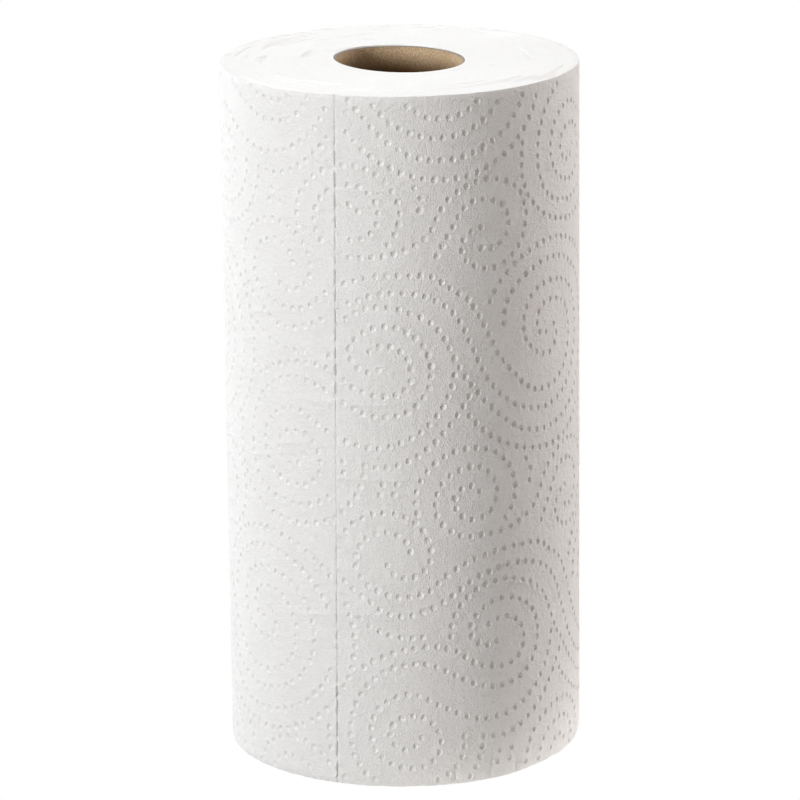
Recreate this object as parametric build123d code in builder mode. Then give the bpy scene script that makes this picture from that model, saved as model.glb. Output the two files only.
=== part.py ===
from build123d import *

import os
from math import cos, degrees, pi, radians, sin, sqrt

# A kitchen roll: one long strip of paper towel wound tightly on a cardboard tube.
# It stands on its end, with the origin at the middle of its base and +Z up its axis.
# The front is towards -Y, and angles round the roll grow from there towards +X.
# All sizes are in millimetres.

# The roll
roll_diameter = 117.0
roll_height = 230.0

# The cardboard tube
core_bore_diameter = 45.6
core_wall = 0.8

# The paper strip
towel_thickness = 0.5
towel_length = 232.0

# The turns that show on both ends, each one standing for several layers of towel
turn_pitch = 6.0
turn_groove_width = 0.8
turn_groove_depth = 0.7

# The perforated line between the outer towel and the next one
perforation_angle = -22.0
slit_length = 4.4
slit_tie = 1.8
slit_width = 0.5
slit_end_margin = 2.5

# The emboss: curls of dimples. Each row is one curl on the flat towel, with its middle to
# the right of the front and above the base, the angle it starts at and the way it turns.
curls = (
    (-5.0, 142.0, 135, -1),
    (54.0, 150.5, 270, -1),
    (23.0, 96.0, 50, 1),
)
curl_dimples = 14
curl_inner_radius = 2.4
curl_growth = 7.5
dimple_pitch = 4.8
dimple_width = 2.2
dimple_depth = 0.8
dimple_margin = 4.0

# How far along and up the towel the curls are repeated, in two directions
repeat_across = (145.5, 1.3)
repeat_down = (39.1, -93.7)

# Places worked out from the sizes above
roll_radius = roll_diameter / 2
core_radius = core_bore_diameter / 2 + core_wall
tail_angle = perforation_angle + degrees(towel_length / roll_radius)


def toward(angle):
    """Unit vector from the axis towards an angle round the roll."""
    return Vector(sin(radians(angle)), -cos(radians(angle)), 0)


def half_turn_centre(count, pitch):
    """Even half turns are about the axis, and odd ones half a pitch off it."""
    return toward(tail_angle) * (-pitch / 2 if count % 2 else 0)


def half_turn(count, pitch):
    """The arc of one half turn of a strip that starts at the tail and winds inwards.

    The two centres join each half turn smoothly to its neighbours.
    """
    start = tail_angle - 90 - 180 * (count % 2)
    return CenterArc(
        half_turn_centre(count, pitch), roll_radius - count * pitch / 2, start, -180
    )


def towel_plane(angle, height):
    """The plane that lies on the outer towel at an angle and a height."""
    count = int((tail_angle - angle) / 180)
    surface = half_turn_centre(count, towel_thickness) + toward(angle) * (
        roll_radius - count * towel_thickness / 2
    )
    return Plane(
        origin=surface + Vector(0, 0, height), x_dir=(0, 0, 1), z_dir=toward(angle)
    )


def curl_places(middle_along, middle_up, start, way):
    """Where a curl's dimples lie on the flat towel, at even steps along its spiral."""
    growth = curl_growth / (2 * pi)
    for number in range(curl_dimples):
        travel = 2 * growth * number * dimple_pitch
        turned = (sqrt(curl_inner_radius**2 + travel) - curl_inner_radius) / growth
        radius = curl_inner_radius + growth * turned
        heading = radians(start) + way * turned
        yield middle_along + radius * cos(heading), middle_up + radius * sin(heading)


def dimple_planes():
    """Planes on the outer towel for all dimples clear of its ends and its torn lines."""
    outer_turn = 2 * pi * roll_radius
    from_tail = radians(tail_angle) * roll_radius
    from_perforation = radians(perforation_angle) * roll_radius
    copies_along = range(-int(outer_turn / repeat_across[0]) - 2, 3)
    copies_up = range(-4, 5)
    for curl in curls:
        for along, up in curl_places(*curl):
            for across in copies_along:
                for down in copies_up:
                    place = along + across * repeat_across[0] + down * repeat_down[0]
                    height = up + across * repeat_across[1] + down * repeat_down[1]
                    on_turn = dimple_margin < from_tail - place < outer_turn - dimple_margin
                    on_height = dimple_margin < height < roll_height - dimple_margin
                    off_line = abs(place - from_perforation) > dimple_margin
                    if on_turn and on_height and off_line:
                        yield towel_plane(degrees(place / roll_radius), height)


# The spiral line of the turns, as the V that is sunk into the lower end
with BuildPart() as turn_line:
    with BuildLine() as winding:
        for count in range(2, int(2 * (roll_radius - core_radius) / turn_pitch)):
            half_turn(count, turn_pitch)
    across = Plane(
        origin=winding.wire() @ 0,
        x_dir=toward(tail_angle),
        z_dir=winding.wire() % 0,
    )
    with BuildSketch(across):
        with BuildLine():
            Polyline(
                (-turn_groove_width / 2, 0),
                (turn_groove_width / 2, 0),
                (0, turn_groove_depth),
                close=True,
            )
        make_face()
    sweep(path=winding.wire())


# One dimple of the emboss, a pyramid that points into the roll
with BuildPart() as dimple:
    with BuildSketch(Plane.XY.offset(dimple_depth)) as mouth:
        Rectangle(2 * dimple_width, 2 * dimple_width)
    loft(sections=[mouth.sketch.face(), Vertex(0, 0, -dimple_depth)])


# The wound paper: all its turns are one solid, with the tail as a step at the back
with BuildPart() as paper_roll:
    with BuildSketch():
        with BuildLine():
            half_turn(0, towel_thickness)
            half_turn(1, towel_thickness)
            Line(
                toward(tail_angle) * (roll_radius - towel_thickness),
                toward(tail_angle) * roll_radius,
            )
        make_face()
        Circle(core_radius, mode=Mode.SUBTRACT)
    extrude(amount=roll_height)

    # The turns show on both ends
    add(turn_line.part, mode=Mode.SUBTRACT)
    mirror(
        turn_line.part,
        about=Plane.XY.offset(roll_height / 2),
        mode=Mode.SUBTRACT,
    )

    # The slits of the perforated line, with short ties of paper between them
    slit_step = slit_length + slit_tie
    slit_count = int((roll_height - 2 * slit_end_margin + slit_tie) / slit_step)
    with BuildSketch(towel_plane(perforation_angle, roll_height / 2)):
        with GridLocations(slit_step, 0, slit_count, 1):
            Rectangle(slit_length, slit_width)
    extrude(amount=-towel_thickness, mode=Mode.SUBTRACT)

    # The emboss
    with Locations(*dimple_planes()):
        add(dimple.part, mode=Mode.SUBTRACT)

paper_roll.part.label = "paper_roll"


# The cardboard tube, as long as the paper is wide
with BuildPart() as cardboard_core:
    with BuildSketch():
        Circle(core_radius)
        Circle(core_bore_diameter / 2, mode=Mode.SUBTRACT)
    extrude(amount=roll_height)

cardboard_core.part.label = "cardboard_core"


os.makedirs("parts", exist_ok=True)
for sub_part in (paper_roll.part, cardboard_core.part):
    export_step(sub_part, f"parts/{sub_part.label}.step")
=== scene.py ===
import math
import random

import bpy
from mathutils import Matrix, Vector, geometry, kdtree, noise


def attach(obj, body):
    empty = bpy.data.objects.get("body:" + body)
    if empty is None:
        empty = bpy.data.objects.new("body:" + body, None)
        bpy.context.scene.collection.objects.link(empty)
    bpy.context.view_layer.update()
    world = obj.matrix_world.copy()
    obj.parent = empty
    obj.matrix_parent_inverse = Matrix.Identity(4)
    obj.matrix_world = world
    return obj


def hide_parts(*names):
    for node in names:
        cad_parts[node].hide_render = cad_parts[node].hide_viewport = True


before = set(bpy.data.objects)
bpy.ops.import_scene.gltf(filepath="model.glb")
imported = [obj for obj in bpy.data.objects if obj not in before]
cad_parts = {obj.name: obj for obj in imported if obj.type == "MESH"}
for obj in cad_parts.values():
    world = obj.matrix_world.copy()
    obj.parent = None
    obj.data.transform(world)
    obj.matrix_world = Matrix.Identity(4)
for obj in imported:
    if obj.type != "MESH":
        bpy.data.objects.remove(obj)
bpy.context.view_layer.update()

bpy.ops.object.select_all(action="DESELECT")
chance = random.Random(7)
mm = 0.001

# The roll as the CAD model has it, in millimetres. "Along" is measured on the outer turn,
# to the right from the middle of the front, and "up" from the floor.
roll = {
    "height": 230.0,
    "radius": 58.5,
    "towelThickness": 0.5,
    "towelLength": 232.0,
    "perforation": -22.05,  # along, at half the height
    "perforationLean": 0.0093,
    "coreRadius": 23.6,
    "boreRadius": 22.8,
    "underTail": 4.0,  # the next towel goes on this far under the tail
}
roll["tail"] = roll["perforation"] + roll["towelLength"]
roll["wayRound"] = 2 * math.pi * roll["radius"]


def outward(angle):
    return Vector((math.sin(angle), -math.cos(angle), 0))


def onTurn(along, up, lift=0.0):
    # The outer turn is two half circles, and the second one is half a sheet off the axis
    angle = along / roll["radius"]
    tailAngle = roll["tail"] / roll["radius"]
    second = 1 if tailAngle - angle > math.pi else 0
    middle = outward(tailAngle) * (-roll["towelThickness"] / 2 * second)
    reach = roll["radius"] - roll["towelThickness"] / 2 * second + lift
    spot = middle + outward(angle) * reach
    return Vector((spot.x, spot.y, up)) * mm


def blend(low, high, value):
    share = min(1.0, max(0.0, (value - low) / (high - low)))
    return share * share * (3 - 2 * share)


def ripple(x, y, seed=0.0):
    return noise.noise(Vector((x, y, seed)))


# The emboss: lines of dimples that run from scroll to scroll. The lines of one repeat are
# laid over the whole towel, stepped across and down.
emboss = {
    "across": (145.5, 1.3),
    "down": (39.1, -93.7),
    "repeatsAcross": 2,
    "repeatsDown": 3,
    "spacing": 3.65,
    "endMargin": 1.2,  # no dots nearer to a cut end
    "overlap": 1.0,  # dots as far as this past the tail
    "closest": 2.1,  # of dots nearer to each other, one is kept
    "dotRadius": 1.08,
    "radiusSpread": (0.88, 1.08),
    "dotDepth": 0.32,
    "depthSpread": (0.7, 1.15),
    "placeSpread": 0.1,
    "wall": (0.67, 1.02),  # where a dimple's wall starts and ends, in shares of its radius
    "lip": 0.08,
    "lipAt": 1.06,
    "lipWidth": 0.17,
    "puff": 0.02,
    "puffReach": 2.6,
    "loft": 0.2,
    "rings": ((6, 0.68), (9, 0.85), (11, 1.02), (10, 1.38)),  # mesh points round a dot, and how far out
    "lines": [
        [(-7.5, 141), (-14, 141), (-17, 147.5), (-12.5, 153), (7, 148.5), (4.5, 129), (-9.5, 125.5),
         (-23, 131.5), (-29.5, 135), (-57, 115.5), (-50.5, 96.5), (-43, 94), (-35.5, 93.5),
         (-19.5, 106), (-19.5, 110)],
        [(-10.5, 147), (-7.5, 148.5), (3, 141.5), (1.5, 135), (-12, 133), (-24.5, 140.5),
         (-45.5, 138.5), (-52.5, 134.5)],
        [(-34, 110.5), (-36, 107.5), (-43.5, 109.5), (-44, 112.5), (-35, 118), (-27.5, 108), (-46, 103),
         (-50, 116), (-38.5, 125.5), (-25.5, 120), (-12, 115), (13, 128), (17, 138.5)],
        [(-24, 144.5), (-22.5, 151.5), (-18, 157.5), (9.5, 156), (20.5, 138), (48.5, 115.5),
         (70.5, 120.5), (76.5, 125.5), (73, 165), (51.5, 171), (35, 158), (34.5, 153.5)],
        [(53.5, 147), (50, 148), (50, 155), (60, 157), (67.5, 138.5), (49, 129), (37, 138), (26, 156.5),
         (22, 163), (16, 167), (10.5, 171), (3, 172), (-25.5, 165), (-31.5, 160), (-39, 158.5),
         (-54.5, 173.5), (-49.5, 179.5), (-38.5, 177.5), (-37, 174)],
        [(58, 149), (59.5, 145.5), (58.5, 142.5), (45.5, 144), (43.5, 157), (62.5, 163), (75.5, 147),
         (72.5, 133.5), (53.5, 122.5), (40, 125.5), (22.5, 148.5), (20, 154.5), (10, 164), (3, 166),
         (-18, 162), (-24.5, 157.5), (-44.5, 153), (-50.5, 157), (-60.5, 166.5), (-58, 180.5),
         (-45, 187), (-32.5, 180.5), (-32.5, 167.5), (-39, 165), (-44.5, 169.5)],
        [(29.5, 161.5), (39.5, 173), (69, 175), (89.5, 139), (76.5, 117), (33.5, 114.5), (22, 124.5)],
        [(-64, 116.5), (-63.5, 103), (-40.5, 87.5), (-19.5, 93.5), (-13, 105.5)],
        [(25.5, 99), (23, 101), (17, 97.5), (19.5, 91), (29.5, 92), (29.5, 104.5), (16, 105.5),
         (10.5, 94), (19.5, 84.5), (27, 84), (47, 90.5), (54.5, 102.5), (67.5, 108), (80.5, 101.5),
         (81.5, 88), (63.5, 80), (59, 84), (62, 91.5), (65.5, 92.5)],
        [(26.5, 179.5), (30, 179), (36, 183.5), (35.5, 190.5), (24, 195), (15, 184), (11.5, 178)],
        [(35, 88.5), (38.5, 95), (35, 108), (15.5, 112.5), (4, 96), (4.5, 93)],
        [(-12.5, 109), (-8.5, 108.5), (20, 128), (22, 131)],
        [(4.5, 200.5), (6.5, 197), (6, 193)],
        [(-6.5, 103), (-2, 103)],
        [(-7.5, 99.5), (-3, 99.5)],
        [(-53.5, 151), (-47.5, 147), (-33, 145)],
    ],
}


def smoothLine(points, stretches=14):
    # A line through the points that is close to an arc between each two of them
    points = [Vector(point) for point in points]
    inner = []
    for before, here, after in zip(points, points[1:], points[2:]):
        back = here - before
        ahead = after - here
        inner.append((back / back.length_squared + ahead / ahead.length_squared).normalized())
    first = (points[1] - points[0]).normalized()
    last = (points[-1] - points[-2]).normalized()
    # At both ends the heading is the mirror image of the one beside it
    second = inner[0] if inner else first
    lastButOne = inner[-1] if inner else last
    headings = [2 * first * first.dot(second) - second] + inner
    headings.append(2 * last * last.dot(lastButOne) - lastButOne)
    line = [points[0]]
    for start, end, leave, arrive in zip(points, points[1:], headings, headings[1:]):
        turned = leave.angle(arrive, 0.0)
        reach = (end - start).length / (3 * math.cos(turned / 4) ** 2)
        leaving = start + leave * reach
        arriving = end - arrive * reach
        line += geometry.interpolate_bezier(start, leaving, arriving, end, stretches)[1:]
    return line


def evenSteps(line, spacing):
    travelled = [0.0]
    for start, end in zip(line, line[1:]):
        travelled.append(travelled[-1] + (end - start).length)
    count = max(1, round(travelled[-1] / spacing))
    steps = []
    leg = 0
    for number in range(count + 1):
        goal = travelled[-1] * number / count
        while leg < len(line) - 2 and travelled[leg + 1] < goal:
            leg += 1
        share = (goal - travelled[leg]) / (travelled[leg + 1] - travelled[leg])
        steps.append(line[leg].lerp(line[leg + 1], share))
    return steps


def makeTree(places):
    # For finding the nearest of many places on the flat towel
    tree = kdtree.KDTree(len(places))
    for number, place in enumerate(places):
        tree.insert((place[0], place[1], 0.0), number)
    tree.balance()
    return tree


def embossDots():
    places = []
    for points in emboss["lines"]:
        for step in evenSteps(smoothLine(points), emboss["spacing"]):
            for across in range(-emboss["repeatsAcross"], emboss["repeatsAcross"] + 1):
                for down in range(-emboss["repeatsDown"], emboss["repeatsDown"] + 1):
                    along = step.x + across * emboss["across"][0] + down * emboss["down"][0]
                    up = step.y + across * emboss["across"][1] + down * emboss["down"][1]
                    wound = roll["tail"] - along
                    onTowel = -emboss["overlap"] < wound < roll["wayRound"] + emboss["overlap"]
                    if onTowel and emboss["endMargin"] < up < roll["height"] - emboss["endMargin"]:
                        places.append((along, up, 0.0))
    tree = makeTree(places)
    dots = []
    for number, place in enumerate(places):
        close = [other for spot, other, gap in tree.find_range(place, emboss["closest"])]
        if min(close) == number:
            depth = emboss["dotDepth"] * chance.uniform(*emboss["depthSpread"])
            size = emboss["dotRadius"] * chance.uniform(*emboss["radiusSpread"])
            along = place[0] + chance.uniform(-emboss["placeSpread"], emboss["placeSpread"])
            up = place[1] + chance.uniform(-emboss["placeSpread"], emboss["placeSpread"])
            dots.append((along, up, depth, size))
    return dots


dots = embossDots()
dotTree = makeTree(dots)
print("emboss:", len(dots), "dimples")

# The perforated line: slits with short ties of paper left between them
perforation = {
    "slit": 4.4,
    "slitSpread": (0.7, 1.25),
    "tie": 1.7,
    "tieSpread": (0.7, 1.2),
    "firstSlit": 2.0,
    "lastSlit": 6.0,  # the last one starts at least this far below the top
    "endMargin": 1.5,
    "closing": 0.5,  # a slit closes over this length at each end
    "halfWidth": 0.15,
    "widening": 0.35,
    "depth": 0.8,
    "tieDepth": 0.12,
    "reach": 1.5,  # the paper is bent as far as this on each side
    "lip": 0.1,
    "leftLip": 0.35,  # on the paper left of the line
    "lipAt": 0.5,
    "lipSpread": 0.05,  # squared
    "openShare": 0.8,
    "openSpread": 0.5,  # how much that differs from slit to slit
    "meshRows": (1.0, 0.5),  # beside the slit, by turns
    # how far the slits have parted, by height
    "parted": [(0, 1.5), (30, 1.5), (38, 0.4), (60, 0.5), (75, 0.2), (122, 0.15), (138, 0.9), (165, 0.9),
               (180, 0.5), (200, 0.8), (212, 0.8), (220, 0.4), (230, 0.35)],
}
slits = []
slitStart = perforation["firstSlit"]
while slitStart < roll["height"] - perforation["lastSlit"]:
    slitEnd = slitStart + perforation["slit"] * chance.uniform(*perforation["slitSpread"])
    slits.append((slitStart, min(slitEnd, roll["height"] - perforation["endMargin"])))
    slitStart = slitEnd + perforation["tie"] * chance.uniform(*perforation["tieSpread"])


def perforationAt(up):
    return roll["perforation"] + (up - roll["height"] / 2) * roll["perforationLean"]


def slitOpen(up):
    share = 0.0
    closing = perforation["closing"]
    for low, high in slits:
        if low < up < high:
            share = blend(low, low + closing, up) * (1 - blend(high - closing, high, up))
            share *= perforation["openShare"] + perforation["openSpread"] * ripple(low, 0.0, 70.0)
    for (start, before), (end, after) in zip(perforation["parted"], perforation["parted"][1:]):
        if start <= up <= end:
            share *= before + (after - before) * (up - start) / (end - start)
    return share


def slitHalfWidth(up):
    return perforation["halfWidth"] * (1 + perforation["widening"] * slitOpen(up))


# Thin wrinkles and creases that the paper has taken: height, half width and the line
wrinkles = [
    (0.12, 0.7, [(-38, 199), (-18, 199.4), (0, 199)]),
    (0.17, 0.6, [(-62, 153), (-52, 155.5), (-41, 157)]),
    (0.20, 0.6, [(-41, 129.8), (-15, 129.3), (5, 129.8)]),
    (0.17, 0.6, [(-47, 112), (-38, 114), (-29, 115)]),
    (0.16, 0.6, [(-62, 106), (-54, 107), (-46, 109)]),
    (0.20, 0.6, [(-28, 104.6), (-10, 104.2), (9, 104.8)]),
    (0.23, 0.7, [(-50, 54), (-31, 57), (-15, 58.7), (12, 55.5)]),
    (0.22, 0.7, [(27, 66), (42, 65), (52, 59)]),
    (-0.32, 0.45, [(16.2, -6), (16.6, 6.5)]),
    (-0.34, 0.45, [(26.8, -11), (30.2, 11)]),
    (-0.32, 0.45, [(37.6, -7), (39.4, 7)]),
]
wrinkleLines = [(height, width, smoothLine(points)) for height, width, points in wrinkles]
wrinkleBox = (2.0, 24.0)  # past its line's ends, and above or below its start, a wrinkle has faded


def wrinkleLift(along, up):
    lift = 0.0
    spot = Vector((along, up))
    for height, width, line in wrinkleLines:
        beside = not line[0].x - wrinkleBox[0] < along < line[-1].x + wrinkleBox[0]
        if beside or abs(up - line[0].y) > wrinkleBox[1]:
            continue
        nearest = (math.inf, 0.0)
        for number, (start, end) in enumerate(zip(line, line[1:])):
            share = geometry.intersect_point_line(spot, start, end)[1]
            share = min(1.0, max(0.0, share))
            gap = (spot - start.lerp(end, share)).length
            nearest = min(nearest, (gap, (number + share) / (len(line) - 1)))
        gap, travelled = nearest
        fade = blend(0.5, 0.2, abs(travelled - 0.5))
        lift += fade * height * math.exp(-((gap / width) ** 2))
    return lift


# Slow waves of the outer turn: height, length along, length up and a seed
slowWaves = ((0.08, 21, 30, 3.0), (0.04, 5, 6, 8.0))


def towelLift(along, up):
    number, gap = dotTree.find((along, up, 0.0))[1:]
    depth, size = dots[number][2:]
    lift = emboss["loft"] + emboss["puff"] * (1 - math.exp(-((gap / emboss["puffReach"]) ** 2)))
    lift -= depth * (1 - blend(*emboss["wall"], gap / size))
    lift += emboss["lip"] * math.exp(-(((gap / size - emboss["lipAt"]) / emboss["lipWidth"]) ** 2))
    for height, longWay, tallWay, seed in slowWaves:
        lift += height * ripple(along / longWay, up / tallWay, seed)
    lift += wrinkleLift(along, up)
    return lift


# The cut ends waver a little, and the lower one is pushed in where the roll was knocked.
# A wave is its height, its length along and a seed.
cutEnds = {
    "topReach": 7,
    "topDrop": 0.12,
    "topWaves": ((0.2, 9, 20.0), (0.18, 3, 25.0)),
    "footReach": 9,
    "footLift": 0.05,
    "footWaves": ((0.16, 8, 30.0), (0.12, 2.5, 35.0)),
    "knockStart": (34, 52),
    "knockEnd": (78, 96),
    "knockLift": 0.5,
    "knockWaves": ((0.6, 5, 40.0),),
    "knockInward": 0.5,
    "edgeInward": 0.25,  # the very edge is turned in over the last millimetre
}


def wavesAt(along, waves):
    return sum(height * ripple(along / length, 0.0, seed) for height, length, seed in waves)


def rimShift(along, up):
    top = blend(roll["height"] - cutEnds["topReach"], roll["height"], up)
    foot = 1 - blend(0, cutEnds["footReach"], up)
    knocked = blend(*cutEnds["knockStart"], along) * (1 - blend(*cutEnds["knockEnd"], along))
    shift = -top * (cutEnds["topDrop"] + wavesAt(along, cutEnds["topWaves"]))
    shift += foot * max(0.0, cutEnds["footLift"] + wavesAt(along, cutEnds["footWaves"]))
    shift += foot * knocked * (cutEnds["knockLift"] + wavesAt(along, cutEnds["knockWaves"]))
    atEdge = 1 - blend(0, 1.0, up) + blend(-1.0, 0, up - roll["height"])
    inward = foot * foot * knocked * cutEnds["knockInward"] + cutEnds["edgeInward"] * atEdge
    return shift, inward


# The end of the strip lies down, and gapes a little here and there
tailFlap = {
    "reach": (0, 7),
    "rise": 0.12,
    "underReach": (4, 10),
    "underRise": 0.85,
    "gape": 0.3,
    "gapeLength": 17,
    "waver": 0.2,  # of the cut itself
    "waverLength": 6,
}


def tailLift(along, up, reach, rise):
    near = 1 - blend(*reach, roll["tail"] - along)
    gape = tailFlap["gape"] * max(0.0, ripple(up / tailFlap["gapeLength"], 2.0, 50.0))
    return near * (rise + gape)


def makePiece(name, places, faces, material):
    mesh = bpy.data.meshes.new(name)
    mesh.from_pydata([tuple(place) for place in places], [], faces)
    mesh.update()
    piece = bpy.data.objects.new(name, mesh)
    bpy.context.scene.collection.objects.link(piece)
    mesh.materials.append(material)
    return piece


def paintFlat(piece, flat):
    # The UV map is the flat towel, with one unit for each decimetre
    layer = piece.data.uv_layers.new(name="flatTowel")
    values = []
    for loop in piece.data.loops:
        values += [flat[loop.vertex_index][0] / 100, flat[loop.vertex_index][1] / 100]
    layer.data.foreach_set("uv", values)


# The points of a towel's mesh, with lengths in millimetres on the flat towel
towelMesh = {
    "edgeStep": 0.5,
    "endColumns": 150,
    "endRow": 1.0,  # from each cut end
    "endMargin": 0.3,  # no points nearer to a cut end
    "sideMargin": 1.4,  # no plain points nearer to the right edge
    "dotMargin": 2.1,  # dots nearer to a side edge have no points of their own
    "wrinkleStep": 1.3,
    "wrinkleRows": (-1.4, -0.7, 0.0, 0.7, 1.4),  # in half widths of the wrinkle
    "wrinkleClear": 1.3,  # from the middle of a dot
    "wrinkleMargin": 1,  # from a side edge
    "rowGap": 2.8,
    "columnGap": 3.2,
    "scatter": 0.3,
    "plainClear": 1.8,  # from the middle of a dot
    "backColumns": 60,
    "backRows": 8,
    "backDepth": 1.3,  # inward from the outer turn
    "backFollows": 0.5,  # how much of the front's way inward the back takes
}


def towelRim(leftEdge, rightEdge):
    # Once round the flat towel from its lower left corner
    height = roll["height"]
    columns = towelMesh["endColumns"]
    sideUps = [number * towelMesh["edgeStep"] for number in range(int(height / towelMesh["edgeStep"]) + 1)]
    foot = [leftEdge(0) + (rightEdge(0) - leftEdge(0)) * number / columns for number in range(columns + 1)]
    wide = rightEdge(height) - leftEdge(height)
    top = [leftEdge(height) + wide * number / columns for number in range(columns + 1)]
    rim = [(along, 0.0) for along in foot[:-1]]
    rim += [(rightEdge(up), up) for up in sideUps[:-1]]
    rim += [(along, height) for along in reversed(top[1:])]
    rim += [(leftEdge(up), up) for up in reversed(sideUps[1:])]
    return rim, sideUps, foot


def frontPoints(leftEdge, rightEdge, torn, sideUps, foot):
    height = roll["height"]
    points = []
    for up in sideUps[1:-1]:
        for side, edge, way in (("left", leftEdge, 1), ("right", rightEdge, -1)):
            if side in torn:
                points.append((edge(up) + way * slitHalfWidth(up), up))
                points.append((edge(up) + way * perforation["meshRows"][int(up * 2) % 2], up))
    for along in foot[1:-1]:
        points += [(along, towelMesh["endRow"]), (along, height - towelMesh["endRow"])]
    for along, up, depth, size in dots:
        fromLeft = along - leftEdge(up)
        fromRight = rightEdge(up) - along
        if min(fromLeft, fromRight) > towelMesh["dotMargin"]:
            points.append((along, up))
            start = chance.uniform(0, 1)
            for count, share in emboss["rings"]:
                for number in range(count):
                    angle = 2 * math.pi * (number + start) / count
                    reach = size * share
                    points.append((along + reach * math.cos(angle), up + reach * math.sin(angle)))
    margin = towelMesh["wrinkleMargin"]
    for lift, width, line in wrinkleLines:
        upright = abs(line[-1].y - line[0].y) > abs(line[-1].x - line[0].x)
        for step in evenSteps(line, towelMesh["wrinkleStep"]):
            for offset in towelMesh["wrinkleRows"]:
                spot = (step.x, step.y + offset * width)
                if upright:
                    spot = (step.x + offset * width, step.y)
                inside = leftEdge(spot[1]) + margin < spot[0] < rightEdge(spot[1]) - margin
                if inside and dotTree.find((*spot, 0.0))[2] > towelMesh["wrinkleClear"]:
                    points.append(spot)
    scatter = towelMesh["scatter"]
    rows = int(height / towelMesh["rowGap"])
    for row in range(1, rows):
        up = height * row / rows
        along = leftEdge(up) + towelMesh["columnGap"] * (0.5 if row % 2 else 1.0)
        while along < rightEdge(up) - towelMesh["sideMargin"]:
            spot = (along + chance.uniform(-scatter, scatter), up + chance.uniform(-scatter, scatter))
            if dotTree.find((*spot, 0.0))[2] > towelMesh["plainClear"]:
                points.append(spot)
            along += towelMesh["columnGap"]
    endMargin = towelMesh["endMargin"]
    return [spot for spot in points if endMargin < spot[1] < height - endMargin]


def backPoints(leftEdge, rightEdge):
    points = []
    for column in range(1, towelMesh["backColumns"]):
        for row in range(1, towelMesh["backRows"]):
            up = roll["height"] * row / towelMesh["backRows"]
            share = column / towelMesh["backColumns"]
            points.append((leftEdge(up) + (rightEdge(up) - leftEdge(up)) * share, up))
    return points


def fillSheet(rim, points):
    # Triangles inside the rim, through all the points
    places = [Vector(point) for point in rim + points]
    filled = geometry.delaunay_2d_cdt(places, [], [list(range(len(rim)))], 1, 1e-6)
    return filled[0], filled[2]


def slitDrop(along, up, leftEdge, rightEdge, torn):
    drop = 0.0
    for side, edge in (("left", leftEdge), ("right", rightEdge)):
        gap = abs(along - edge(up))
        if side in torn and gap < perforation["reach"]:
            deep = max(perforation["tieDepth"], perforation["depth"] * slitOpen(up))
            drop += deep * max(0.0, 1 - gap / slitHalfWidth(up))
            lip = perforation["lip"] if side == "left" else perforation["leftLip"]
            bend = math.exp(-((gap - perforation["lipAt"]) ** 2) / perforation["lipSpread"])
            drop -= lip * bend * slitOpen(up)
    return drop


def openEdges(faces):
    # The edges that only one face has, in that face's direction
    single = set()
    for face in faces:
        for start, end in zip(face, list(face[1:]) + [face[0]]):
            if (end, start) in single:
                single.remove((end, start))
            else:
                single.add((start, end))
    return sorted(single)


def makeTowel(name, leftEdge, rightEdge, torn, material):
    # leftEdge and rightEdge give the place along for a height, and torn names the perforated sides
    rim, sideUps, foot = towelRim(leftEdge, rightEdge)
    front, frontFaces = fillSheet(rim, frontPoints(leftEdge, rightEdge, torn, sideUps, foot))
    back, backFaces = fillSheet(rim, backPoints(leftEdge, rightEdge))

    places = []
    flat = []
    for along, up in front:
        shift, inward = rimShift(along, up)
        lift = towelLift(along, up) - slitDrop(along, up, leftEdge, rightEdge, torn) - inward
        lift += tailLift(along, up, tailFlap["reach"], tailFlap["rise"])
        places.append(onTurn(along, max(0.0, up + shift), lift))
        flat.append((along, up))
    for along, up in back:
        shift, inward = rimShift(along, up)
        lift = tailLift(along, up, tailFlap["underReach"], tailFlap["underRise"])
        lift -= towelMesh["backDepth"] + inward * towelMesh["backFollows"]
        places.append(onTurn(along, max(0.0, up + shift), lift))
        flat.append((along, up))

    offset = len(front)
    faces = [tuple(face) for face in frontFaces]
    faces += [tuple(offset + corner for corner in reversed(face)) for face in backFaces]
    # The rim has the same places in front and back, and a strip of faces joins the two
    backAt = {(round(spot[0], 4), round(spot[1], 4)): number for number, spot in enumerate(back)}
    for start, end in openEdges(frontFaces):
        under = [offset + backAt[(round(front[n][0], 4), round(front[n][1], 4))] for n in (start, end)]
        faces.append((end, start, under[0], under[1]))
    piece = makePiece(name, places, faces, material)
    paintFlat(piece, flat)
    return piece


# The wound turns that show on both ends: a spiral of sheet edges with fine valleys between
turns = {
    "pitch": 0.5,
    "steps": 144,  # round one turn
    "edge": 0.3,  # in from the outside of the roll
    "valley": 0.14,
    "valleyShares": (0.75, 1.0),  # steady, and more where the winding is loose
    "sink": 0.05,
    "sinkShares": (0.7, 0.8, 0.5),  # steady, slow and fine
    "waver": 0.25,
    "calm": (3, 2),  # the waver fades this near to the towel, and to the tube
    "towelReach": 9,  # the foot follows the towel's as far in as this
    "wallInward": 1.0,  # the wall is set back under the towel
    "wallTop": 1.9,
    "wallFoot": 4.2,
    "mouthReach": 46,  # the turns inside this radius follow the mouth of the tube
}

# The tube is pressed out of round towards the top, most of all at the front left. A swing is
# how often it comes round, and its part of the cosine and of the sine.
mouth = {
    "inward": 1.6,
    "swings": ((1, -2.0, 0.32), (2, 0.75, 1.3)),
}


def mouthShift(angle, up):
    shift = -mouth["inward"]
    for times, front, side in mouth["swings"]:
        shift += front * math.cos(times * angle) + side * math.sin(times * angle)
    return shift * up / roll["height"]


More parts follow.
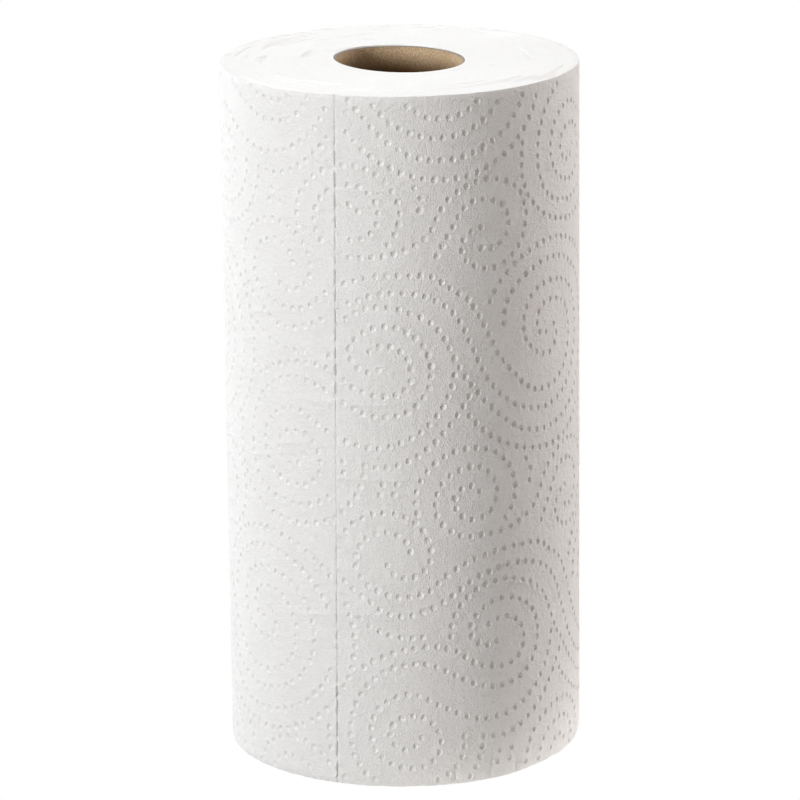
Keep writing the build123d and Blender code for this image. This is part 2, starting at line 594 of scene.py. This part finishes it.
def makeTurns(material):
    height = roll["height"]
    steps = turns["steps"]
    outer = roll["radius"] - turns["edge"]
    whole = int((outer - roll["coreRadius"]) / turns["pitch"]) + 1
    last = whole * steps
    tailAngle = roll["tail"] / roll["radius"]

    def placeOn(count, half, top):
        # half is 0 on a valley and 1 on the crest between it and the next one
        turned = count / steps
        radius = outer - turns["pitch"] * (turned + half / 2)
        angle = tailAngle - 2 * math.pi * turned
        x, y = math.sin(angle), -math.cos(angle)
        side = 0.0 if top else 60.0
        free = blend(0, turns["calm"][0], outer - radius)
        free *= blend(0, turns["calm"][1], radius - roll["coreRadius"])
        radius += free * turns["waver"] * ripple(x * 1.6 + radius * 0.05, y * 1.6, side + radius * 0.11)
        radius = max(radius, roll["coreRadius"] + 0.02)
        if top:
            pressed = 1 - blend(roll["coreRadius"], turns["mouthReach"], radius)
            radius += mouthShift(angle, height) * pressed
        # Some turns stand a little lower, and the valleys are deeper where the winding is loose
        steady, slow, fine = turns["sinkShares"]
        drop = turns["sink"] * (steady + slow * ripple(x * 1.4 + 5, y * 1.4, side + radius * 0.45))
        drop += turns["sink"] * fine * max(0.0, ripple(x * 3, y * 3, side + 9 + radius * 0.9))
        if not half:
            loose = max(0.0, ripple(x * 2.2, y * 2.2, side + 30 + math.floor(turned * 0.31) * 1.7))
            drop += turns["valley"] * (turns["valleyShares"][0] + turns["valleyShares"][1] * loose)
        up = height - drop if top else drop
        along = angle * roll["radius"]
        near = blend(turns["towelReach"], 0, outer - radius)
        if not top:
            along = (along + roll["wayRound"] / 2) % roll["wayRound"] - roll["wayRound"] / 2
            shift, inward = rimShift(along, 0.0)
            up += near * shift
            radius -= near * max(0.0, inward - cutEnds["edgeInward"])
        return Vector((x * radius, y * radius, min(height, max(0.0, up)))) * mm

    places = []
    faces = []
    index = {}
    for top in (True, False):
        for half in (0, 1):
            for count in range(last + 1 if not half else last - steps + 1):
                index[top, half, count] = len(places)
                places.append(placeOn(count, half, top))

    def quad(top, *corners):
        face = [index[(top, *corner)] for corner in corners]
        faces.append(tuple(face if top else reversed(face)))

    for top in (True, False):
        for count in range(last - steps):
            quad(top, (0, count), (0, count + 1), (1, count + 1), (1, count))
            quad(top, (1, count), (1, count + 1), (0, count + 1 + steps), (0, count + steps))

    # The outer wall is set back under the towel, and the inner one lies on the tube
    outerLoop = [(0, count) for count in range(steps + 1)] + [(1, 0)]
    innerLoop = [(0, count) for count in range(last - steps, last + 1)] + [(1, last - steps)]
    setBack = {}
    for top in (True, False):
        for corner in outerLoop:
            place = places[index[(top, *corner)]]
            flatPlace = Vector((place.x, place.y, 0))
            pulled = flatPlace * (1 - turns["wallInward"] * mm / flatPlace.length)
            up = (height - turns["wallTop"] if top else turns["wallFoot"]) * mm
            setBack[(top, corner)] = len(places)
            places.append(Vector((pulled.x, pulled.y, up)))

    def wallRows(corner):
        top, foot = (True, corner), (False, corner)
        return [index[(True, *corner)], setBack[top], setBack[foot], index[(False, *corner)]]

    for start, end in zip(outerLoop, outerLoop[1:] + outerLoop[:1]):
        rows = wallRows(start)
        nexts = wallRows(end)
        for level in range(3):
            faces.append((rows[level], rows[level + 1], nexts[level + 1], nexts[level]))
    for start, end in zip(innerLoop, innerLoop[1:] + innerLoop[:1]):
        topStart, topEnd = index[(True, *start)], index[(True, *end)]
        faces.append((topStart, topEnd, index[(False, *end)], index[(False, *start)]))
    return makePiece("woundTurns", places, faces, material)


# The cardboard tube, with a saw-cut rim that is not quite even
tube = {
    "around": 128,
    "setBack": 0.4,  # from the turns, at both ends
    "uneven": 0.18,
    "unevenRate": 90,  # ripples to a metre
    "rimBevel": 0.12,
    "rises": (1.5, 8, 20, 40, 45.6, 45.6, 40, 20, 8),  # from ring to ring of the mesh, but for the last
    "rimReach": (0.8, 3.0),  # the unevenness fades out between these, from each end
}


def makeTube(material):
    height = roll["height"] - 2 * tube["setBack"]
    bpy.ops.mesh.primitive_circle_add(
        vertices=tube["around"], radius=roll["boreRadius"] * mm, location=(0, 0, tube["setBack"] * mm)
    )
    piece = bpy.context.object
    piece.name = "cardTube"
    piece.data.name = "cardTube"
    bpy.ops.object.mode_set(mode="EDIT")
    bpy.ops.mesh.select_all(action="SELECT")
    for rise in (*tube["rises"], height - sum(tube["rises"])):
        bpy.ops.mesh.extrude_edges_move(TRANSFORM_OT_translate={"value": (0, 0, rise * mm)})
    bpy.ops.mesh.select_all(action="SELECT")
    bpy.ops.mesh.normals_make_consistent(inside=False)
    bpy.ops.object.mode_set(mode="OBJECT")
    wall = piece.modifiers.new("wall", "SOLIDIFY")
    wall.thickness = (roll["coreRadius"] - roll["boreRadius"]) * mm
    wall.offset = 1
    wall.use_even_offset = True
    bpy.ops.object.modifier_apply(modifier="wall")
    edges = piece.modifiers.new("rim", "BEVEL")
    edges.width = tube["rimBevel"] * mm
    edges.segments = 2
    edges.limit_method = "ANGLE"
    edges.angle_limit = math.radians(50)
    bpy.ops.object.modifier_apply(modifier="rim")
    bpy.ops.object.transform_apply(location=True, rotation=True, scale=True)
    for vertex in piece.data.vertices:
        up = vertex.co.z / mm
        near = 1 - blend(*tube["rimReach"], min(up, roll["height"] - up))
        rate = tube["unevenRate"]
        uneven = ripple(vertex.co.x * rate, vertex.co.y * rate, up * 0.01)
        vertex.co.z += near * tube["uneven"] * mm * uneven
        reach = math.hypot(vertex.co.x, vertex.co.y)
        share = 1 + mouthShift(math.atan2(vertex.co.x, -vertex.co.y), up) * mm / reach
        vertex.co.x *= share
        vertex.co.y *= share
    bpy.ops.object.shade_smooth_by_angle(angle=math.radians(40))
    piece.data.materials.append(material)
    return piece


# Materials
def addNode(tree, kind, label="", **values):
    node = tree.nodes.new(kind)
    node.label = label
    for name, value in values.items():
        if hasattr(node, name):
            setattr(node, name, value)
        else:
            node.inputs[name.replace("_", " ")].default_value = value
    return node


# Shared effect: the matted fibres of soft paper and of board, as a tone and a height.
# The rates are to a millimetre.
fibre = {
    "creping": (2.4, 1.0, 1.0),  # finer along than up
    "feltRate": 2.8,
    "cockleRate": 0.5,
    "cockleHeight": 1.3,
    "cloudRate": 0.11,
    "cloudShare": 0.35,  # of the darker tone
    "fleckRange": (0.42, 0.68),
    "bump": 0.33,
    "gloss": 0.2,
}


def makeFibreGroup():
    group = bpy.data.node_groups.new("fibreMat", "ShaderNodeTree")
    for name, way, kind in (
        ("Place", "INPUT", "NodeSocketVector"),
        ("Pale", "INPUT", "NodeSocketColor"),
        ("Dark", "INPUT", "NodeSocketColor"),
        ("Fleck", "INPUT", "NodeSocketFloat"),
        ("Colour", "OUTPUT", "NodeSocketColor"),
        ("Height", "OUTPUT", "NodeSocketFloat"),
    ):
        group.interface.new_socket(name, in_out=way, socket_type=kind)
    link = group.links.new
    given = addNode(group, "NodeGroupInput")
    made = addNode(group, "NodeGroupOutput")
    creping = addNode(group, "ShaderNodeMapping", "creping runs up the roll")
    creping.inputs["Scale"].default_value = fibre["creping"]
    ridges = addNode(group, "ShaderNodeTexNoise", "creping", Scale=1.0, Detail=3.0, Roughness=0.6)
    felt = addNode(
        group, "ShaderNodeTexNoise", "felted fibres", Scale=fibre["feltRate"], Detail=3.0, Roughness=0.62
    )
    cockle = addNode(group, "ShaderNodeTexNoise", "cockling", Scale=fibre["cockleRate"], Detail=2.0)
    cloud = addNode(group, "ShaderNodeTexNoise", "cloudy density", Scale=fibre["cloudRate"], Detail=2.0)
    link(given.outputs["Place"], creping.inputs["Vector"])
    link(creping.outputs["Vector"], ridges.inputs["Vector"])
    for pattern in (felt, cockle, cloud):
        link(given.outputs["Place"], pattern.inputs["Vector"])
    both = addNode(group, "ShaderNodeMath", "fine height", operation="ADD")
    link(ridges.outputs["Fac"], both.inputs[0])
    link(felt.outputs["Fac"], both.inputs[1])
    height = addNode(group, "ShaderNodeMath", "height", operation="MULTIPLY_ADD")
    height.inputs[1].default_value = fibre["cockleHeight"]
    link(cockle.outputs["Fac"], height.inputs[0])
    link(both.outputs["Value"], height.inputs[2])
    flecks = addNode(group, "ShaderNodeMapRange", "flecks")
    flecks.inputs["From Min"].default_value, flecks.inputs["From Max"].default_value = fibre["fleckRange"]
    link(felt.outputs["Fac"], flecks.inputs["Value"])
    amount = addNode(group, "ShaderNodeMath", "fleck amount", operation="MULTIPLY")
    link(flecks.outputs["Result"], amount.inputs[0])
    link(given.outputs["Fleck"], amount.inputs[1])
    density = addNode(group, "ShaderNodeMath", "density", operation="MULTIPLY_ADD")
    density.inputs[1].default_value = fibre["cloudShare"]
    link(cloud.outputs["Fac"], density.inputs[0])
    link(amount.outputs["Value"], density.inputs[2])
    shade = addNode(group, "ShaderNodeMix", "tone", data_type="RGBA")
    link(density.outputs["Value"], shade.inputs["Factor"])
    link(given.outputs["Pale"], shade.inputs["A"])
    link(given.outputs["Dark"], shade.inputs["B"])
    link(shade.outputs["Result"], made.inputs["Colour"])
    link(height.outputs["Value"], made.inputs["Height"])
    return group


fibreGroup = makeFibreGroup()


def makeFibreMaterial(name, pale, dark, fleck, relief, roughness, place, stretch):
    material = bpy.data.materials.new(name)
    material.use_nodes = True
    tree = material.node_tree
    surface = tree.nodes["Principled BSDF"]
    surface.inputs["Roughness"].default_value = roughness
    surface.inputs["Specular IOR Level"].default_value = fibre["gloss"]
    coordinates = addNode(tree, "ShaderNodeTexCoord")
    toMillimetres = addNode(tree, "ShaderNodeMapping")
    toMillimetres.inputs["Scale"].default_value = stretch
    fibres = addNode(tree, "ShaderNodeGroup", "fibres")
    fibres.node_tree = fibreGroup
    fibres.inputs["Pale"].default_value = pale
    fibres.inputs["Dark"].default_value = dark
    fibres.inputs["Fleck"].default_value = fleck
    bump = addNode(tree, "ShaderNodeBump", "fibre relief")
    bump.inputs["Strength"].default_value = relief
    bump.inputs["Distance"].default_value = fibre["bump"] * mm
    link = tree.links.new
    link(coordinates.outputs[place], toMillimetres.inputs["Vector"])
    link(toMillimetres.outputs["Vector"], fibres.inputs["Place"])
    link(fibres.outputs["Colour"], surface.inputs["Base Color"])
    link(fibres.outputs["Height"], bump.inputs["Height"])
    link(bump.outputs["Normal"], surface.inputs["Normal"])
    return material


towelPaper = makeFibreMaterial(
    "towelPaper",
    pale=(0.955, 0.954, 0.945, 1),
    dark=(0.74, 0.734, 0.718, 1),
    fleck=0.8,
    relief=1.0,
    roughness=0.95,
    place="UV",
    stretch=(100, 100, 100),
)
turnPaper = makeFibreMaterial(
    "turnPaper",
    pale=(0.9, 0.907, 0.907, 1),
    dark=(0.81, 0.81, 0.8, 1),
    fleck=0.4,
    relief=0.4,
    roughness=0.95,
    place="Object",
    stretch=(1000, 1000, 1000),
)
greyBoard = makeFibreMaterial(
    "greyBoard",
    pale=(0.74, 0.57, 0.38, 1),
    dark=(0.38, 0.24, 0.12, 1),
    fleck=0.75,
    relief=0.6,
    roughness=0.85,
    place="Object",
    stretch=(1000, 1000, 500),
)

# The board is greyer on its cut rim, and painted shade darkens it deep in the tube, by the depth below the
# top
board = {
    "cutTone": (0.34, 0.3, 0.255, 1),
    "cutDepth": 0.75,
    "cutFade": 0.1,
    # painted shade: the inside of the tube darkens to this from 2 to 9 mm below the top, where the rim's
    # shadow falls
    "paintedShadeTone": (0.08, 0.034, 0.006, 1),
    "paintedShadeStart": 2.0,
    "paintedShadeEnd": 9.0,
}


def cutRimAndPaintedShade(material):
    tree = material.node_tree
    link = tree.links.new
    surface = tree.nodes["Principled BSDF"]
    tone = surface.inputs["Base Color"].links[0].from_socket
    coordinates = addNode(tree, "ShaderNodeTexCoord")
    axes = addNode(tree, "ShaderNodeSeparateXYZ")
    link(coordinates.outputs["Object"], axes.inputs["Vector"])
    for label, start, end, colour in (
        # painted shade: the board is darkened below the top as if in the tube's shadow
        ("painted shade deep in the tube", board["paintedShadeStart"], board["paintedShadeEnd"], board["paintedShadeTone"]),
        ("cut rim", board["cutDepth"], board["cutDepth"] - board["cutFade"], board["cutTone"]),
    ):
        mask = addNode(tree, "ShaderNodeMapRange", label)
        mask.inputs["From Min"].default_value = (roll["height"] - start) * mm
        mask.inputs["From Max"].default_value = (roll["height"] - end) * mm
        mix = addNode(tree, "ShaderNodeMix", label, data_type="RGBA")
        mix.inputs["B"].default_value = colour
        link(axes.outputs["Z"], mask.inputs["Value"])
        link(mask.outputs["Result"], mix.inputs["Factor"])
        link(tone, mix.inputs["A"])
        tone = mix.outputs["Result"]
    link(tone, surface.inputs["Base Color"])


cutRimAndPaintedShade(greyBoard)


def hiddenEdge(up):
    # Straight, under the tail
    return roll["tail"] - roll["wayRound"] - roll["underTail"]


def tailEdge(up):
    # Cut, and not quite straight
    waver = tailFlap["waver"]
    return roll["tail"] + waver * ripple(up / tailFlap["waverLength"], 0.0, 60.0) - waver


outerTowel = makeTowel("outerTowel", perforationAt, tailEdge, ("left",), towelPaper)
print("outer towel:", len(outerTowel.data.polygons), "faces")
nextTowel = makeTowel("nextTowel", hiddenEdge, perforationAt, ("right",), towelPaper)
print("next towel:", len(nextTowel.data.polygons), "faces")
woundTurns = makeTurns(turnPaper)
print("wound turns:", len(woundTurns.data.polygons), "faces")
cardTube = makeTube(greyBoard)
print("tube:", len(cardTube.data.polygons), "faces")

for piece in (outerTowel, nextTowel, woundTurns):
    bpy.ops.object.select_all(action="DESELECT")
    piece.select_set(True)
    bpy.context.view_layer.objects.active = piece
    bpy.ops.object.shade_smooth_by_angle(angle=math.radians(60))
    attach(piece, "root")
    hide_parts("paper_roll")
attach(cardTube, "root")
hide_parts("cardboard_core")


# The studio: a white floor, soft lights and the camera at the photograph's place
studio = {
    "floorSize": 8.0,
    "floorTone": (0.4, 0.4, 0.4, 1),
    "aim": (0, 0, 0.12),  # where the lamps point
    "lights": [
        # name, degrees round from the front, height, distance, width, tall, watts, colour
        ("leftBack", -137, 0.5, 1.45, 0.7, 1.0, 14.2, (0.99, 1.0, 1.02)),
        ("leftFront", -52, 0.6, 1.7, 0.3, 0.4, 19.4, (0.995, 1.01, 1.025)),
        ("frontTop", 20, 1.5, 1.5, 0.3, 0.3, 5.0, (1.14, 0.985, 0.88)),
        ("leftTop", -60, 1.55, 1.0, 0.3, 0.4, 4.9, (0.99, 1.02, 1.04)),
        ("rightBack", 116, 0.52, 1.5, 0.25, 0.8, 16.2, (1.065, 1.01, 0.99)),
        ("backTop", 180, 1.6, 1.4, 1.0, 1.0, 2.5, (1.0, 1.0, 1.0)),
    ],
    "overhead": (1.7, 1.6, 13.6),  # height, width, watts
    "floorGlow": (0.125, 0.108, 0.098, 1),
    "brightGlow": (0.8, 0.77, 0.74, 1),  # the floor right of the foot is brighter
    "brightSpot": (0.032, -0.006, 0),
    "brightReach": (0.04, 0.085),
    "skyForLight": 0.0,
}


def whiteFloor():
    # The camera sees the floor as plain white, and the roll is lit by a dimmer one
    material = bpy.data.materials.new("studioFloor")
    material.use_nodes = True
    tree = material.node_tree
    surface = tree.nodes["Principled BSDF"]
    surface.inputs["Base Color"].default_value = studio["floorTone"]
    surface.inputs["Roughness"].default_value = 1.0
    surface.inputs["Specular IOR Level"].default_value = 0.0
    surface.inputs["Emission Strength"].default_value = 1.0
    coordinates = addNode(tree, "ShaderNodeTexCoord")
    gap = addNode(tree, "ShaderNodeVectorMath", "from the bright spot", operation="DISTANCE")
    gap.inputs[1].default_value = studio["brightSpot"]
    fade = addNode(tree, "ShaderNodeMapRange", "fade", interpolation_type="SMOOTHSTEP")
    fade.inputs["From Min"].default_value, fade.inputs["From Max"].default_value = studio["brightReach"]
    glow = addNode(tree, "ShaderNodeMix", "glow", data_type="RGBA")
    glow.inputs["A"].default_value = studio["brightGlow"]
    glow.inputs["B"].default_value = studio["floorGlow"]
    tree.links.new(coordinates.outputs["Object"], gap.inputs[0])
    tree.links.new(gap.outputs["Value"], fade.inputs["Value"])
    tree.links.new(fade.outputs["Result"], glow.inputs["Factor"])
    tree.links.new(glow.outputs["Result"], surface.inputs["Emission Color"])
    white = addNode(tree, "ShaderNodeEmission", "white ground", Strength=1.0)
    seen = addNode(tree, "ShaderNodeLightPath")
    either = addNode(tree, "ShaderNodeMixShader", "seen or lighting")
    tree.links.new(seen.outputs["Is Camera Ray"], either.inputs["Fac"])
    tree.links.new(surface.outputs["BSDF"], either.inputs[1])
    tree.links.new(white.outputs["Emission"], either.inputs[2])
    tree.links.new(either.outputs["Shader"], tree.nodes["Material Output"].inputs["Surface"])
    return material


bpy.ops.mesh.primitive_plane_add(size=studio["floorSize"], location=(0, 0, 0))
floor = bpy.context.object
floor.name = "studioFloor"
floor.data.materials.append(whiteFloor())

for name, around, high, distance, wide, tall, watts, colour in studio["lights"]:
    spot = outward(math.radians(around)) * distance + Vector((0, 0, high))
    bpy.ops.object.light_add(type="AREA", location=spot)
    light = bpy.context.object
    light.name = name
    light.rotation_euler = (Vector(studio["aim"]) - spot).to_track_quat("-Z", "Y").to_euler()
    light.data.shape = "RECTANGLE"
    light.data.size = wide
    light.data.size_y = tall
    light.data.energy = watts
    light.data.color = colour
overheadHeight, overheadWidth, overheadWatts = studio["overhead"]
bpy.ops.object.light_add(type="AREA", location=(0, 0, overheadHeight))
bpy.context.object.name = "overhead"
bpy.context.object.data.size = overheadWidth
bpy.context.object.data.energy = overheadWatts

world = bpy.data.worlds.new("studio")
bpy.context.scene.world = world
world.use_nodes = True
sky = world.node_tree.nodes["Background"]
sky.inputs["Color"].default_value = (1, 1, 1, 1)
seen = addNode(world.node_tree, "ShaderNodeLightPath")
strength = addNode(world.node_tree, "ShaderNodeMix", data_type="FLOAT")
strength.inputs["A"].default_value = studio["skyForLight"]
strength.inputs["B"].default_value = 1.0
world.node_tree.links.new(seen.outputs["Is Camera Ray"], strength.inputs["Factor"])
world.node_tree.links.new(strength.outputs["Result"], sky.inputs["Strength"])

# The camera, fitted to the rims in the photograph: its place is in radii of the roll from the
# middle of its base, its angles in radians, and its focal length in pixels of an 800 pixel frame
shot = {
    "back": 26.674,
    "high": 9.3738,
    "pitch": 0.270978,
    "roll": -0.010042,
    "yaw": -0.000475,
    "focal": 4879.6,
    "frameWidth": 800,
    "sensorWidth": 36,
}
forward = Vector(
    (
        math.sin(shot["yaw"]) * math.cos(shot["pitch"]),
        math.cos(shot["yaw"]) * math.cos(shot["pitch"]),
        -math.sin(shot["pitch"]),
    )
)
level = forward.cross(Vector((0, 0, 1))).normalized()
over = level.cross(forward)
rightWay = level * math.cos(shot["roll"]) + over * math.sin(shot["roll"])
upWay = over * math.cos(shot["roll"]) - level * math.sin(shot["roll"])
bpy.ops.object.camera_add(location=(0, 0, 0))
camera = bpy.context.object
camera.name = "photoCamera"
turned = Matrix((rightWay, upWay, -forward)).transposed()
place = Vector((0, -shot["back"], shot["high"])) * roll["radius"] * mm
camera.matrix_world = Matrix.Translation(place) @ turned.to_4x4()
camera.data.sensor_width = shot["sensorWidth"]
camera.data.lens = shot["focal"] * shot["sensorWidth"] / shot["frameWidth"]
camera.data.clip_start = 0.05
camera.data.clip_end = 30
bpy.context.scene.camera = camera
bpy.context.scene.view_settings.view_transform = "Standard"
bpy.context.scene.view_settings.look = "None"
